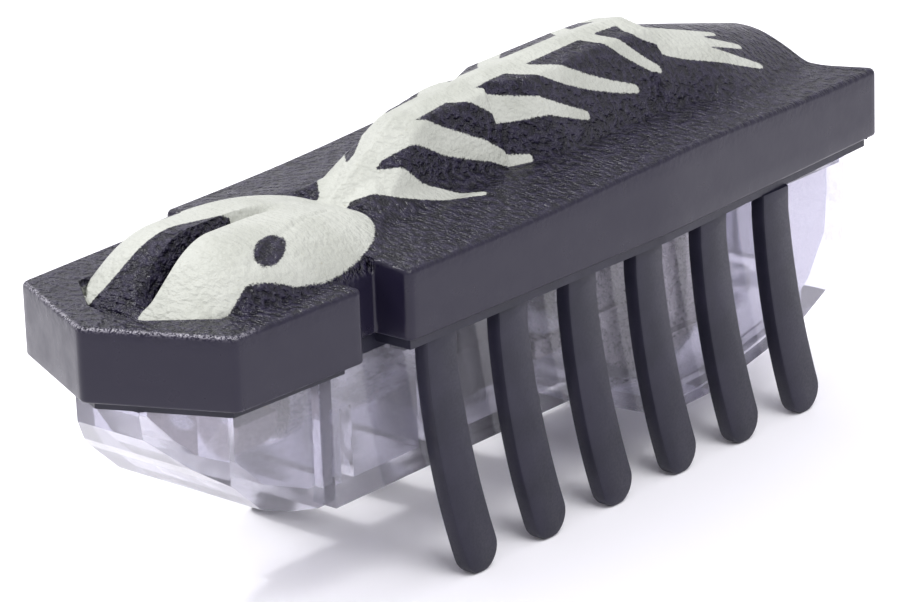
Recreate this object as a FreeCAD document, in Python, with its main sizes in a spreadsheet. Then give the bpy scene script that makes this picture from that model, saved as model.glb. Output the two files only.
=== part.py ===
"""Vibration bug: a toy six-pair-legged walker, 43 mm long, that stands on twelve curved rubber legs.

A black moulded top shell and a clear lower chassis clamp an elastomer leg frame between them.
Inside are a button cell on edge, a pager motor with an eccentric weight, two contact springs
and a slide switch. Frame: +X to the nose, +Y to the left, +Z up, ground at Z = 0 (millimetres).
"""
import FreeCAD, Part
import Sketcher
import math
import os
import re
from FreeCAD import Placement, Rotation, Vector

DIMENSIONS = {
    # levels above the ground
    "flank_z": 11.1, "head_low_z": 10.74, "frame_z": 10.65, "head_frame_z": 10.34,
    "belly_z": 4.5, "motor_z": 8.25, "cell_z": 8.52,
    # top shell: plan
    "nose_x": 21.5, "cheek_x": 18.9, "cheek_y": 5.64, "jaw_x": 11.95, "jaw_y": 5.9,
    "neck_y": 4.7, "neck_rear_x": 9.0, "shoulder_x": 10.0, "shoulder_y": 6.5,
    "waist_x": -6.0, "waist_y": 6.8, "tail_x": -21.5, "tail_y": 5.94,
    "notch_x": -20.15, "notch_y": 3.8, "rump_x": -20.9,
    # top shell: heights above the flank's lower edge
    "deck_rise": 2.95, "head_rise": 3.04, "saddle_rise": 3.3, "saddle_y": 3.0, "roof_foot": 2.5,
    "wall": 0.9, "deck_hollow": 2.0, "head_hollow": 1.1,
    "recess_x": 19.4, "recess_side_x": 17.5, "recess_y": 3.9, "recess_rear_x": 11.0,
    "recess_floor": 1.4, "cheek_dome_x": 13.7, "cheek_dome_y": 1.95, "cheek_dome_z": 1.1,
    "cheek_long": 3.3, "cheek_wide": 1.85, "cheek_tall": 1.85,
    "bay_front_x": -2.9, "bay_rear_x": -15.9, "bay_y": 2.95, "bay_rise": 3.4,
    "spine_front_x": 2.5, "spine_rear_x": -11.0, "spine_y": 1.0, "spine_rise": 5.5,
    # leg frame
    "frame_inset": 0.3, "frame_open_y": 4.25, "frame_open_front_x": 9.0, "frame_open_rear_x": -19.4,
    "head_inset": 0.6, "head_rim": 1.5, "neck_bar_y": 3.1,
    # legs, of which the front-left one is drawn and the others are copies
    "leg_count": 6, "leg_pitch": 4.37, "leg_front_x": 8.69, "leg_width": 1.8, "leg_gap": 0.12,
    "leg_outer_y": 6.2, "leg_thick": 0.75, "leg_tip_back": 2.85, "leg_tip_r": 0.98, "leg_tip_lean": 20,
    "leg_front_radius": 34.0, "leg_rear_radius": 39.0, "sole_half": 0.25,
    # chassis
    "tub_y": 4.4, "snout_y": 3.8, "tub_wall": 0.7, "flange_y": 5.15, "flange_thick": 0.5,
    "snout_rear_x": 12.4, "snout_taper_x": 17.6, "snout_tip_y": 0.6, "nose_hollow_y": 1.3,
    "cradle_rear_x": 6.2, "cradle_front_x": 10.8, "cradle_thick": 0.7,
    "rail_front_x": -7.8, "rail_rear_x": -11.2, "rail_y": 3.0, "rail_low_z": 5.1, "rail_top_z": 10.2,
    "web_low_z": 6.0,
    # battery door and its screw
    "door_front_x": -5.0, "door_rear_x": -19.1, "door_y": 3.3, "door_top_z": 5.0, "door_gap": 0.12,
    "screw_x": -17.5, "screw_r": 0.5, "screw_hole_r": 0.57, "screw_head_r": 0.95,
    "screw_head_z": 3.05, "screw_seat_z": 3.7, "screw_tip_z": 8.4, "screw_boss_r": 1.45,
    "post_r": 1.15, "cross_length": 1.1, "cross_width": 0.26, "cross_depth": 0.35,
    # button cell, standing on edge with its axis along Y
    "cell_x": -9.5, "cell_r": 5.8, "cell_half": 2.7, "can_wall": 0.3, "can_lip_y": 2.2,
    "seal_r": 5.5, "cap_r": 5.0,
    # contact strips
    "strip_thick": 0.25, "strip_front_x": -8.5, "strip_rear_x": -10.5, "strip_low_z": 5.4,
    "strip_top_z": 9.9, "arm_low_z": 8.6, "arm_top_z": 9.4, "arm_front_x": -3.6,
    "switch_arm_low_z": 6.2, "switch_arm_top_z": 7.0, "switch_tab_x": -1.4,
    # motor
    "motor_front_x": 12.4, "motor_rear_x": 4.8, "motor_r": 2.0, "motor_skin": 0.2,
    "bell_length": 0.9, "bush_r": 0.75, "bush_out": 0.3, "shaft_r": 0.35, "shaft_clear": 0.04,
    "coil_rear_x": 6.1, "coil_front_x": 11.3, "coil_r": 1.6, "coil_skin": 0.2,
    "magnet_rear_x": 6.9, "magnet_r": 1.15, "magnet_bore": 0.45,
    "weight_rear_x": 13.0, "weight_front_x": 15.3, "weight_r": 1.85, "hub_r": 0.8,
    # slide switch
    "switch_rear_x": -2.2, "switch_front_x": 3.6, "switch_y": 1.6, "switch_top_z": 7.2,
    "switch_wall": 0.35, "plate_thick": 0.2, "slot_rear_x": -0.9, "slot_front_x": 2.3, "slot_y": 0.65,
    "knob_rear_x": -0.75, "knob_length": 1.4, "knob_y": 0.5, "knob_low_z": 4.05,
    "skate_long": 0.4, "skate_y": 1.1, "skate_thick": 0.5, "slide_clear": 0.06,
    # leads
    "lead_r": 0.25, "lead_y": 1.0, "lead_z": 9.0, "lead_bend_x": 2.2, "lead_turn_x": -0.8,
    "lead_radius": 4.6, "black_z": 8.5, "black_bend_x": 3.1, "black_end_x": 1.9,
    "black_radius": 1.5,
}

# Cross-sections of the raised back: station x, half-width at its foot, then half-width and
# height of its shoulder line, then the ridge height, all above the flank's lower edge.
BACK = {
    "thorax": [(8.6, 3.3, 1.7, 3.4, 3.65), (6.4, 3.2, 1.8, 4.0, 4.5), (4.3, 2.9, 1.75, 5.7, 6.15),
               (2.6, 2.8, 1.7, 6.0, 6.35), (-3.0, 2.7, 1.7, 6.2, 6.6)],
    "saddle": [(-0.8, 2.65, 1.65, 6.35, 6.7), (-3.4, 3.56, 1.75, 6.4, 6.8), (-8.5, 3.6, 1.75, 6.45, 6.9),
               (-11.8, 3.7, 1.65, 5.9, 6.5)],
    "abdomen": [(-11.0, 4.2, 2.3, 5.1, 5.95), (-15.3, 4.1, 2.2, 4.9, 5.65), (-18.1, 3.8, 2.0, 4.3, 4.9),
                (-20.6, 2.9, 1.5, 3.4, 3.8)],
}

# Underside of the clear chassis in side view, nose to tail: x and depth under the flank's edge.
KEEL = [(20.2, 0.76), (20.1, 1.9), (18.7, 3.3), (17.5, 4.2), (16.0, 5.6), (14.6, 6.15), (12.8, 6.6),
        (-2.0, 6.6), (-4.3, 7.5), (-8.2, 9.25), (-11.8, 9.2), (-16.0, 8.4), (-18.0, 7.95),
        (-20.0, 7.0), (-21.2, 5.2), (-21.4, 3.4), (-21.4, 0.45)]

doc = FreeCAD.newDocument("vibration_bug")
sheet = doc.addObject("Spreadsheet::Sheet", "sizes")
nodes = []


def fill_sheet():
    """Puts every driving dimension in the sheet, one aliased cell each."""
    values = dict(DIMENSIONS)
    for part, stations in BACK.items():
        for index, station in enumerate(stations):
            for what, value in zip(("x", "foot", "edge", "edge_rise", "ridge"), station):
                values[f"{part}{index}_{what}"] = value
    for index, (x, depth) in enumerate(KEEL):
        values[f"keel{index}_x"] = x
        values[f"keel{index}_depth"] = depth
    for row, (alias, value) in enumerate(values.items(), start=1):
        sheet.set(f"A{row}", alias)
        sheet.set(f"B{row}", str(value))
        sheet.setAlias(f"B{row}", alias)
    doc.recompute()


def cells(text):
    """An expression in cell names, with the sheet's name put before all but its functions."""
    return re.sub(r"\b[a-z]\w*\b(?!\()", lambda word: "sizes." + word.group(), str(text))


def value_of(text):
    """The present value of such an expression."""
    return float(sheet.evalExpression(cells(text)))


def bind(obj, **expressions):
    """Binds properties to the sheet; a double underscore stands for a dot in a name."""
    for name, text in expressions.items():
        obj.setExpression(name.replace("__", "."), cells(text))


def node(obj, label):
    """Names a finished sub-part after its node."""
    obj.Label = label
    nodes.append(obj)
    return obj


# ---- sketches and PartDesign features -------------------------------------------------------

def new_body(name):
    return doc.addObject("PartDesign::Body", name)


def sketch_on(body, name, role, lift="0"):
    """A sketch on one of the body's origin planes, moved out of it by lift."""
    sketch = body.newObject("Sketcher::SketchObject", name)
    plane = next(feature for feature in body.Origin.OriginFeatures if feature.Role == role)
    sketch.AttachmentSupport = (plane, [""])
    sketch.MapMode = "FlatFace"
    bind(sketch, AttachmentOffset__Base__z=lift)
    return sketch


def pin(sketch, edge, end, point):
    """Ties an edge's start or end to sheet expressions for its two coordinates."""
    for kind, text in zip(("DistanceX", "DistanceY"), point):
        index = sketch.addConstraint(Sketcher.Constraint(kind, -1, 1, edge, end, value_of(text)))
        sketch.setExpression(f"Constraints[{index}]", cells(text))


def arc_through(start, end, radius):
    """The arc shorter than half a turn from start to end; its centre is on the left if radius > 0."""
    middle = (start + end) * 0.5
    chord = end - start
    left = Vector(-chord.y, chord.x, 0).normalize()
    reach = math.sqrt(max(radius ** 2 - (chord.Length / 2) ** 2, 0.0))
    side = math.copysign(1.0, radius)
    centre = middle + left * (side * reach)
    top = centre - left * (side * abs(radius))
    return Part.Arc(start, top, end)


def loop(sketch, corners, radii=None, closed=True):
    """Lines and arcs through corners, whose coordinates and radii are sheet expressions."""
    radii = radii or {}
    first = len(sketch.Geometry)
    places = [Vector(value_of(x), value_of(y), 0) for x, y in corners]
    count = len(corners) if closed else len(corners) - 1
    for index in range(count):
        start, end = places[index], places[(index + 1) % len(corners)]
        if index in radii:
            sketch.addGeometry(arc_through(start, end, value_of(radii[index])))
        else:
            sketch.addGeometry(Part.LineSegment(start, end))
    tie_corners(sketch, corners, radii, first, count, closed)


def tie_corners(sketch, corners, radii, first, count, closed):
    """Joins the edges end to end and ties corners and radii to the sheet."""
    flipped = {index for index in radii if value_of(radii[index]) < 0}
    ends = {index: ((2, 1) if index in flipped else (1, 2)) for index in range(count)}
    for index in range(count):
        pin(sketch, first + index, ends[index][0], corners[index])
        if closed or index + 1 < count:
            follower = (index + 1) % count
            sketch.addConstraint(Sketcher.Constraint(
                "Coincident", first + index, ends[index][1], first + follower, ends[follower][0]))
        if index in radii:
            radius = abs(value_of(radii[index]))
            place = sketch.addConstraint(Sketcher.Constraint("Radius", first + index, radius))
            sign = "-1 * " if index in flipped else ""
            sketch.setExpression(f"Constraints[{place}]", sign + cells(f"({radii[index]})"))
    if not closed:
        pin(sketch, first + count - 1, ends[count - 1][1], corners[-1])


def mirrored(half):
    """A plan outline from its left half, given nose to tail; points on the centre line once."""
    right = [(x, f"-({y})") for x, y in reversed(half) if y != "0"]
    return half + right


def pad(body, sketch, length, both=False):
    feature = body.newObject("PartDesign::Pad", sketch.Name + "_pad")
    feature.Profile = sketch
    feature.Midplane = both
    bind(feature, Length=length)
    return feature


def pocket(body, sketch, length, both=False):
    """Cuts a sketch's outline out of the body along +Z, or evenly both ways."""
    feature = body.newObject("PartDesign::Pocket", sketch.Name + "_cut")
    feature.Profile = sketch
    feature.Midplane = both
    feature.Reversed = not both
    bind(feature, Length=length)
    return feature


def round_sketch(body, name, role, x, y, radius, lift="0"):
    sketch = sketch_on(body, name, role, lift)
    centre = Vector(value_of(x), value_of(y), 0)
    sketch.addGeometry(Part.Circle(centre, Vector(0, 0, 1), value_of(radius)))
    pin(sketch, 0, 3, (x, y))
    index = sketch.addConstraint(Sketcher.Constraint("Radius", 0, value_of(radius)))
    sketch.setExpression(f"Constraints[{index}]", cells(radius))
    return sketch


# ---- Part primitives and booleans ------------------------------------------------------------

def box(name, x, y, z):
    """A block between two expressions on each axis."""
    block = doc.addObject("Part::Box", name)
    for size, coordinate, (low, high) in (("Length", "x", x), ("Width", "y", y), ("Height", "z", z)):
        block.setExpression(size, cells(f"({high}) - ({low})"))
        block.setExpression(f"Placement.Base.{coordinate}", cells(low))
    return block


TURNS = {"x": Rotation(Vector(0, 1, 0), 90), "y": Rotation(Vector(1, 0, 0), -90), "z": Rotation()}


def rod(name, axis, start, radius, length):
    """A round bar from a start point along +X, +Y or +Z."""
    bar = doc.addObject("Part::Cylinder", name)
    bar.Placement = Placement(Vector(), TURNS[axis])
    for coordinate, text in zip("xyz", start):
        bar.setExpression(f"Placement.Base.{coordinate}", cells(text))
    bind(bar, Radius=radius, Height=length)
    return bar


def joined(name, *shapes):
    union = doc.addObject("Part::MultiFuse", name)
    union.Shapes = list(shapes)
    return union


def without(name, base, *tools):
    result = doc.addObject("Part::Cut", name)
    result.Base = base
    result.Tool = tools[0] if len(tools) == 1 else joined(name + "_tools", *tools)
    return result


def shared(name, base, tool):
    result = doc.addObject("Part::Common", name)
    result.Base = base
    result.Tool = tool
    return result


def copy_at(name, source, **placement):
    """A linked copy of a sub-part with its own placement."""
    copy = doc.addObject("Part::Compound", name)
    copy.Links = [source]
    bind(copy, **placement)
    return copy


# ---- top shell -------------------------------------------------------------------------------

def deck_plan(inset="0"):
    """Plan of the shell behind the neck, drawn in by inset all round."""
    return mirrored([
        (f"shoulder_x - ({inset})", f"shoulder_y - ({inset})"), ("waist_x", f"waist_y - ({inset})"),
        (f"tail_x + ({inset})", f"tail_y - ({inset})"), (f"notch_x + ({inset})", f"notch_y - ({inset})"),
        (f"rump_x + ({inset})", "0")])


def head_plan(inset="0"):
    """Plan of the six-sided head, drawn in by inset."""
    return mirrored([
        (f"nose_x - ({inset}) * 1.1", "0"), (f"cheek_x - ({inset}) * 0.65", f"cheek_y - ({inset})"),
        (f"jaw_x + ({inset})", f"jaw_y - ({inset})")])


def rectangle(x, y):
    return [(x[0], y[0]), (x[1], y[0]), (x[1], y[1]), (x[0], y[1])]


def drawn(body, name, corners, lift):
    sketch = sketch_on(body, name, "XY_Plane", lift)
    loop(sketch, corners)
    return sketch


def back_loft(body, part):
    """One length of the raised back, as straight panels between its stations."""
    sections = []
    for index in range(len(BACK[part])):
        cell = f"{part}{index}"
        sketch = sketch_on(body, cell, "YZ_Plane", f"{cell}_x")
        foot, edge = f"{cell}_foot", f"{cell}_edge"
        side = [(foot, "flank_z + roof_foot"), (foot, "flank_z + saddle_rise"),
                (edge, f"flank_z + {cell}_edge_rise")]
        far = [(f"-({y})", z) for y, z in reversed(side)]
        loop(sketch, side + [("0", f"flank_z + {cell}_ridge")] + far)
        sections.append(sketch)
    feature = body.newObject("PartDesign::AdditiveLoft", part + "_loft")
    feature.Profile = sections[0]
    feature.Sections = sections[1:]
    feature.Ruled = True
    return feature


def shoulder_loft(body):
    """The nearly flat shoulders that rise a little from the flanks to the raised back."""
    sections = []
    for name, x, half in (("shoulder_front", "shoulder_x - 0.05", "shoulder_y - 0.1"),
                          ("shoulder_rear", "notch_x + 0.1", "tail_y - 0.1")):
        sketch = sketch_on(body, name, "YZ_Plane", x)
        side = [(half, "flank_z + roof_foot"), (half, "flank_z + deck_rise"),
                ("saddle_y", "flank_z + saddle_rise")]
        far = [(f"-({y})", z) for y, z in reversed(side)]
        loop(sketch, side + far)
        sections.append(sketch)
    feature = body.newObject("PartDesign::AdditiveLoft", "shoulders")
    feature.Profile = sections[0]
    feature.Sections = sections[1:]
    feature.Ruled = True


def cheek_domes(body):
    for name, side in (("left_cheek", "cheek_dome_y"), ("right_cheek", "-(cheek_dome_y)")):
        dome = body.newObject("PartDesign::AdditiveEllipsoid", name)
        bind(dome, Radius1="cheek_tall", Radius2="cheek_long", Radius3="cheek_wide",
             Placement__Base__x="cheek_dome_x", Placement__Base__y=side,
             Placement__Base__z="flank_z + cheek_dome_z")


def top_shell():
    """The black moulded shell: deck, ringed head, neck and raised back, hollow underneath."""
    body = new_body("shell_body")
    pad(body, drawn(body, "deck", deck_plan(), "flank_z"), "deck_rise")
    pad(body, drawn(body, "head", head_plan(), "head_low_z"), "head_rise")
    neck = rectangle(("neck_rear_x", "jaw_x + 1"), ("-(neck_y)", "neck_y"))
    pad(body, drawn(body, "neck", neck, "flank_z"), "deck_rise")
    shoulder_loft(body)
    for part in BACK:
        back_loft(body, part)
    recess = mirrored([("recess_x", "0"), ("recess_side_x", "recess_y"), ("recess_rear_x", "recess_y")])
    pocket(body, drawn(body, "recess", recess, "flank_z + recess_floor"), "deck_rise")
    cheek_domes(body)
    pocket(body, drawn(body, "deck_hollow_plan", deck_plan("wall"), "flank_z"), "deck_hollow")
    head_hollow = drawn(body, "head_hollow_plan", head_plan("wall * 1.5"), "head_low_z - 1")
    pocket(body, head_hollow, "head_hollow + 1")
    passage = rectangle(("neck_rear_x - 1", "jaw_x + 2"), ("wall - neck_y", "neck_y - wall"))
    neck_hollow = drawn(body, "neck_hollow", passage, "head_low_z - 1")
    pocket(body, neck_hollow, "head_hollow + 1")
    bay = rectangle(("bay_rear_x", "bay_front_x"), ("-(bay_y)", "bay_y"))
    pocket(body, drawn(body, "cell_bay", bay, "flank_z"), "bay_rise")
    spine = rectangle(("spine_rear_x", "spine_front_x"), ("-(spine_y)", "spine_y"))
    pocket(body, drawn(body, "spine_hollow", spine, "flank_z"), "spine_rise")
    node(body, "top_shell")


# ---- leg frame and legs ----------------------------------------------------------------------

def leg_frame():
    """The thin elastomer gasket that carries the legs, clamped between shell and chassis."""
    body = new_body("frame_body")
    plate = drawn(body, "deck_plate", deck_plan("frame_inset"), "frame_z")
    loop(plate, rectangle(("frame_open_rear_x", "frame_open_front_x"), ("-(frame_open_y)", "frame_open_y")))
    pad(body, plate, "flank_z - frame_z")
    rim = drawn(body, "head_plate", head_plan("head_inset"), "head_frame_z")
    loop(rim, head_plan("head_inset + head_rim"))
    pad(body, rim, "head_low_z - head_frame_z")
    for name, low, high in (("left", "neck_bar_y", "neck_y - frame_inset"),
                            ("right", "frame_inset - neck_y", "-(neck_bar_y)")):
        bar = rectangle(("frame_open_front_x", "jaw_x"), (low, high))
        pad(body, drawn(body, name + "_bar", bar, "head_frame_z"), "flank_z - head_frame_z")
        tongue = rectangle(("jaw_x - 0.5", "jaw_x + head_inset + 0.5"), (low, high))
        pad(body, drawn(body, name + "_tongue", tongue, "head_frame_z"), "head_low_z - head_frame_z")
    node(body, "leg_frame")


def leg_shape():
    """The front-left leg: a flat finger that curves back, with a round root and a small flat sole."""
    body = new_body("leg_body")
    sketch = sketch_on(body, "leg_side", "XZ_Plane", "-(leg_outer_y)")
    front, rear = "leg_front_x", "leg_front_x - leg_width"
    root_z = "frame_z - leg_gap - leg_width / 2"
    ball_x, ball_z = "leg_front_x - leg_tip_back", "sqrt(leg_tip_r ^ 2 - sole_half ^ 2)"
    across, down = "leg_tip_r * cos(leg_tip_lean)", "leg_tip_r * sin(leg_tip_lean)"
    corners = [(front, root_z), (rear, root_z), (f"{ball_x} - {across}", f"{ball_z} + {down}"),
               (f"{ball_x} - sole_half", "0"), (f"{ball_x} + sole_half", "0"),
               (f"{ball_x} + {across}", f"{ball_z} - {down}")]
    radii = {0: "leg_width / 2 + 0.001", 1: "-(leg_rear_radius)", 2: "leg_tip_r",
             4: "leg_tip_r", 5: "leg_front_radius"}
    loop(sketch, corners, radii)
    feature = pad(body, sketch, "leg_thick")
    feature.Reversed = False
    return body


def legs():
    """Six legs a side; the right ones are the left ones moved across."""
    source = leg_shape()
    for side, shift in (("left", "0"), ("right", "leg_thick - leg_outer_y * 2")):
        for index in range(DIMENSIONS["leg_count"]):
            label = f"leg_{side}_{index + 1}"
            leg = copy_at("copy_" + label, source, Placement__Base__x=f"-{index} * leg_pitch",
                          Placement__Base__y=shift)
            node(leg, label)


# ---- clear chassis and battery door ----------------------------------------------------------

def keel_line(inset="0"):
    """The underside's corners, nose to tail, each moved in and up by inset."""
    points = []
    for index, (x, depth) in enumerate(KEEL):
        inward = "0"
        if x > DIMENSIONS["snout_rear_x"] + 1:
            inward = f"-({inset})"
        if x < KEEL[-4][0] + 0.1:
            inward = f"({inset})"
        points.append((f"keel{index}_x + {inward}", f"flank_z - keel{index}_depth + {inset}"))
    return points


def tub_walls():
    """The tub: a long clear shell, narrow under the head and bulged down round the cell."""
    body = new_body("tub_body")
    outer = sketch_on(body, "keel_outer", "XZ_Plane")
    line = keel_line()
    step_x = "neck_rear_x - 0.1"
    top = [("keel16_x", "frame_z"), (step_x, "frame_z"), (step_x, "head_frame_z"),
           ("keel0_x", "head_frame_z")]
    loop(outer, line[1:-1] + top)
    pad(body, outer, "tub_y * 2", both=True)
    for name, sign in (("left_slim", ""), ("right_slim", "-")):
        slim = [("snout_rear_x", f"{sign}(snout_y)"), ("snout_taper_x", f"{sign}(snout_y)"),
                ("nose_x", f"{sign}(snout_tip_y)"), ("nose_x", f"{sign}(tub_y + 1)"),
                ("snout_rear_x", f"{sign}(tub_y + 1)")]
        pocket(body, drawn(body, name, slim, "0"), "flank_z")
    inner = keel_line("tub_wall")
    rear_hollow = sketch_on(body, "rear_hollow", "XZ_Plane")
    rear_line = [("snout_rear_x", "belly_z + tub_wall")] + inner[7:-1]
    loop(rear_hollow, rear_line + [("keel16_x + tub_wall", "flank_z"), ("snout_rear_x", "flank_z")])
    pocket(body, rear_hollow, "(tub_y - tub_wall) * 2", both=True)
    for name, first, half in (("snout_hollow", 3, "snout_y - tub_wall"), ("nose_hollow", 1, "nose_hollow_y")):
        hollow = sketch_on(body, name, "XZ_Plane")
        front_line = inner[first:6] + [("keel6_x", "belly_z + tub_wall"), ("snout_rear_x - 1", "belly_z + tub_wall")]
        front_x = inner[first][0] if first > 1 else "keel1_x - tub_wall"
        loop(hollow, front_line + [("snout_rear_x - 1", "flank_z"), (front_x, "flank_z")])
        pocket(body, hollow, f"({half}) * 2", both=True)
    return body


def chassis_and_door():
    """The tub with its flange, ribs, rails, post and switch slot, and the door cut from its floor."""
    walls = tub_walls()
    hole = box("door_hole", ("door_rear_x", "door_front_x"), ("-(door_y)", "door_y"), ("0", "door_top_z"))
    lid = box("door_slab", ("door_rear_x + door_gap", "door_front_x - door_gap"),
              ("door_gap - door_y", "door_y - door_gap"), ("0", "door_top_z - door_gap"))
    chassis(walls, hole)
    battery_door(walls, lid)


def chassis(walls, door_hole):
    inside_y = "tub_y - tub_wall"
    floor_z = "belly_z + tub_wall / 2"
    added = [walls]
    for name, low, high in (("left_flange", inside_y, "flange_y"), ("right_flange", "-(flange_y)", f"-({inside_y})")):
        added.append(box(name, ("keel16_x + tub_wall * 2", "neck_rear_x - 0.1"), (low, high),
                         ("frame_z - flange_thick", "frame_z")))
    for name in ("cradle_rear", "cradle_front"):
        added.append(box(name, (f"{name}_x", f"{name}_x + cradle_thick"), (f"-({inside_y})", inside_y),
                         (floor_z, "motor_z")))
    for name, low, high in (("left_rail", "rail_y", inside_y), ("right_rail", f"-({inside_y})", "-(rail_y)")):
        added.append(box(name, ("rail_rear_x", "rail_front_x"), (low, high), ("rail_low_z", "rail_top_z")))
    added.append(box("web", ("screw_x - tub_wall / 2", "screw_x + tub_wall / 2"),
                     (f"-({inside_y})", inside_y), ("web_low_z", "rail_top_z")))
    added.append(rod("post", "z", ("screw_x", "0", "web_low_z"), "post_r", "rail_top_z - web_low_z"))
    motor_seat = rod("motor_seat", "x", ("motor_rear_x", "0", "motor_z"), "motor_r", "motor_front_x - motor_rear_x")
    pilot = rod("pilot_hole", "z", ("screw_x", "0", "web_low_z - 1"), "screw_hole_r", "screw_tip_z + 0.4 - web_low_z + 1")
    slot = box("switch_slot", ("slot_rear_x", "slot_front_x"), ("-(slot_y)", "slot_y"), ("0", "belly_z + tub_wall"))
    solid = without("chassis_solid", joined("chassis_blank", *added), door_hole, motor_seat, pilot, slot)
    node(solid, "chassis")


def battery_door(walls, lid):
    """The part of the bulged floor that comes away, with a boss for its screw."""
    panel = shared("door_panel", walls, lid)
    boss = rod("door_boss", "z", ("screw_x", "0", "screw_seat_z - 0.3"), "screw_boss_r",
               "door_top_z - door_gap - screw_seat_z + 0.3")
    sink = rod("screw_sink", "z", ("screw_x", "0", "0"), "screw_head_r + 0.12", "screw_seat_z")
    bore = rod("screw_bore", "z", ("screw_x", "0", "0"), "screw_hole_r", "flank_z")
    node(without("door_solid", joined("door_blank", panel, boss), sink, bore), "battery_door")


def door_screw():
    """A small pan-head screw with a cross recess, driven from below."""
    shank = rod("screw_shank", "z", ("screw_x", "0", "screw_seat_z - 0.2"), "screw_r", "screw_tip_z - screw_seat_z + 0.2")
    head = rod("screw_head", "z", ("screw_x", "0", "screw_head_z"), "screw_head_r", "screw_seat_z - screw_head_z - 0.02")
    depth = ("0", "screw_head_z + cross_depth")
    long_way = ("cross_length / 2", "cross_width / 2")
    first = box("cross_one", (f"screw_x - {long_way[0]}", f"screw_x + {long_way[0]}"),
                (f"-({long_way[1]})", long_way[1]), depth)
    second = box("cross_two", (f"screw_x - {long_way[1]}", f"screw_x + {long_way[1]}"),
                 (f"-({long_way[0]})", long_way[0]), depth)
    node(without("screw_solid", joined("screw_blank", shank, head), first, second), "door_screw")


# ---- button cell and contacts ----------------------------------------------------------------

def cell():
    """An 11.6 by 5.4 mm button cell on edge: steel can, seal ring and cap."""
    can = rod("can_blank", "y", ("cell_x", "-(cell_half)", "cell_z"), "cell_r", "can_lip_y + cell_half")
    room = rod("can_room", "y", ("cell_x", "can_wall - cell_half", "cell_z"), "seal_r", "cell_half * 2")
    node(without("can_solid", can, room), "battery_can")
    ring = rod("seal_blank", "y", ("cell_x", "can_wall - cell_half", "cell_z"), "seal_r",
               "can_lip_y + cell_half - can_wall")
    core = rod("seal_room", "y", ("cell_x", "can_wall * 3 - cell_half", "cell_z"), "cap_r", "cell_half * 2")
    node(without("seal_solid", ring, core), "battery_seal_ring")
    cap = rod("cap_solid", "y", ("cell_x", "can_wall * 3 - cell_half", "cell_z"), "cap_r",
              "cell_half * 2 - can_wall * 3")
    node(cap, "battery_cap")


def contacts():
    """Two bent strips that press on the cell's faces; the cap's strip runs on to the switch."""
    near, far = "cell_half", "cell_half + strip_thick"
    blade = box("plus_blade", ("strip_rear_x", "strip_front_x"), (f"-({far})", f"-({near})"), ("strip_low_z", "strip_top_z"))
    arm = box("plus_arm", ("strip_front_x", "arm_front_x"), (f"-({far})", f"-({near})"), ("arm_low_z", "arm_top_z"))
    node(joined("plus_strip", blade, arm), "contact_positive")
    blade = box("minus_blade", ("strip_rear_x", "strip_front_x"), (near, far), ("strip_low_z", "strip_top_z"))
    arm = box("minus_arm", ("strip_front_x", "switch_tab_x"), (near, far), ("switch_arm_low_z", "switch_arm_top_z"))
    tab = box("minus_tab", ("switch_tab_x - 0.8", "switch_tab_x"), ("switch_y", far), ("switch_arm_low_z", "switch_arm_top_z"))
    node(joined("minus_strip", blade, arm, tab), "contact_negative")


# ---- motor -----------------------------------------------------------------------------------

def on_axis(name, start, end, radius):
    """A round bar on the motor's axis between two places along X."""
    return rod(name, "x", (start, "0", "motor_z"), radius, f"({end}) - ({start})")


def motor():
    """A coreless pager motor: can, end bell, bush and magnet stay; coil, shaft and weight spin."""
    bore_r = "motor_r - motor_skin"
    can = on_axis("can_bar", "motor_rear_x", "motor_front_x", "motor_r")
    room = on_axis("can_bore", "motor_rear_x - 1", "motor_front_x - motor_skin", bore_r)
    nose = on_axis("can_nose", "motor_front_x - 1", "motor_front_x + 1", "bush_r")
    node(without("motor_can_solid", can, room, nose), "motor_can")

    bell = on_axis("bell_bar", "motor_rear_x", "motor_rear_x + bell_length", bore_r)
    node(bell, "motor_end_bell")

    bush = on_axis("bush_bar", "motor_front_x - motor_skin", "motor_front_x + bush_out", "bush_r")
    bush_bore = on_axis("bush_bore", "motor_rear_x", "weight_front_x", "shaft_r + shaft_clear")
    node(without("bush_solid", bush, bush_bore), "motor_bush")

    magnet = on_axis("magnet_bar", "magnet_rear_x", "motor_front_x - motor_skin", "magnet_r")
    magnet_bore = on_axis("magnet_hole", "motor_rear_x", "weight_front_x", "magnet_bore")
    node(without("magnet_solid", magnet, magnet_bore), "motor_magnet")

    coil = on_axis("coil_bar", "coil_rear_x", "coil_front_x", "coil_r")
    coil_room = on_axis("coil_room", "coil_rear_x + coil_skin * 2", "motor_front_x", "coil_r - coil_skin")
    coil_hole = on_axis("coil_hole", "motor_rear_x", "motor_front_x", "shaft_r")
    node(without("coil_solid", coil, coil_room, coil_hole), "motor_coil")

    node(on_axis("shaft_bar", "coil_rear_x - 0.2", "weight_front_x", "shaft_r"), "motor_shaft")
    eccentric_weight()


def eccentric_weight():
    """A half disc of dense metal on the shaft's end, at rest with its heavy side down."""
    disc = on_axis("weight_disc", "weight_rear_x", "weight_front_x", "weight_r")
    lower = box("weight_lower", ("weight_rear_x", "weight_front_x"), ("-(weight_r)", "weight_r"),
                ("motor_z - weight_r", "motor_z"))
    hub = on_axis("weight_hub", "weight_rear_x", "weight_front_x", "hub_r")
    bore = on_axis("weight_bore", "weight_rear_x - 1", "weight_front_x + 1", "shaft_r")
    half = shared("weight_half", disc, lower)
    node(without("weight_solid", joined("weight_blank", half, hub), bore), "eccentric_weight")


# ---- slide switch ----------------------------------------------------------------------------

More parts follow.
